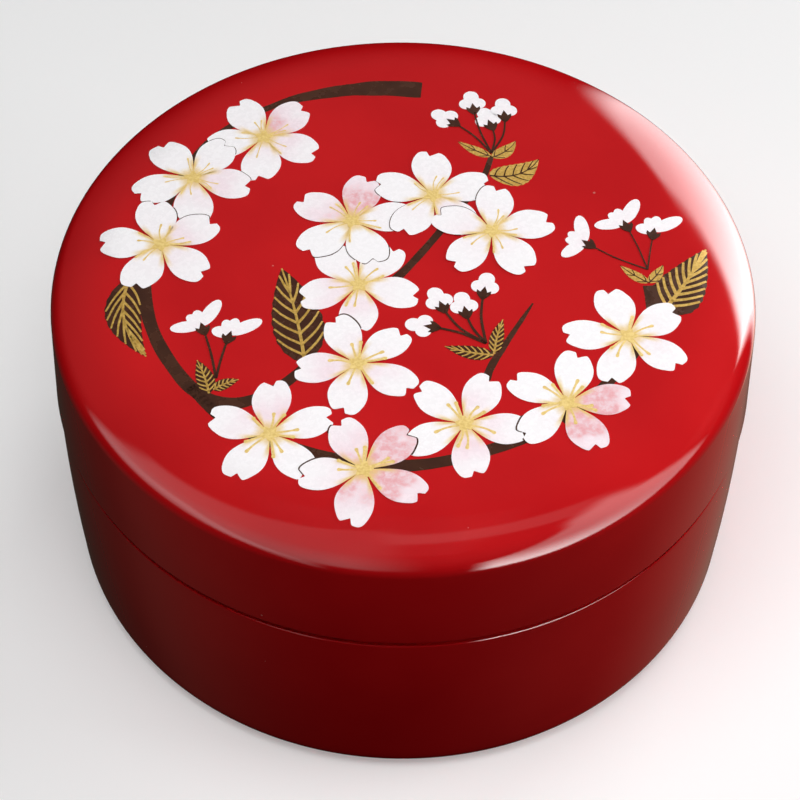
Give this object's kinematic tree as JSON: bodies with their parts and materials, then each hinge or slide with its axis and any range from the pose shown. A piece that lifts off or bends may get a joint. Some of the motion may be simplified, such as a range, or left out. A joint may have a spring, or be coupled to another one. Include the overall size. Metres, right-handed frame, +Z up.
{
  "type": "round lacquer jewelry box",
  "caption": "Round lacquered jewelry box with a domed lift-off lid, a locating collar, velvet lining, a divider, ring rolls and a mirror in the lid.",
  "frame": {"origin": "on the table, under the centre of the foot", "axes": "+Z up along the turning axis, -Y towards the front with the trinket compartment"},
  "size_m": [0.11, 0.11, 0.0591],
  "materials": {
    "lacquer_red": "deep red lacquer, polished to a mirror gloss",
    "velvet": "short-pile wine-red velvet over card or foam",
    "mirror_glass": "silvered glass with a narrow bevel",
    "blossom_paint": "white to pink lacquer paint, satin",
    "gold_paint": "gold powder on lacquer",
    "branch_paint": "dark brown lacquer paint, satin"
  },
  "bodies": {
    "box": {"box_body": "lacquer_red", "locating_collar": "lacquer_red", "wall_lining": "velvet", "floor_pad": "velvet", "divider": "velvet", "ring_roll_1": "velvet", "ring_roll_2": "velvet", "ring_roll_3": "velvet", "ring_roll_4": "velvet"},
    "lid": {"lid_shell": "lacquer_red", "lid_mirror": "mirror_glass", "lid_surround": "velvet"}
  },
  "joints": [
    {"name": "lid_lift", "type": "slide", "parent": "box", "child": "lid", "axis": [0, 0, 1], "range_m": [0, 0.08]}
  ]
}
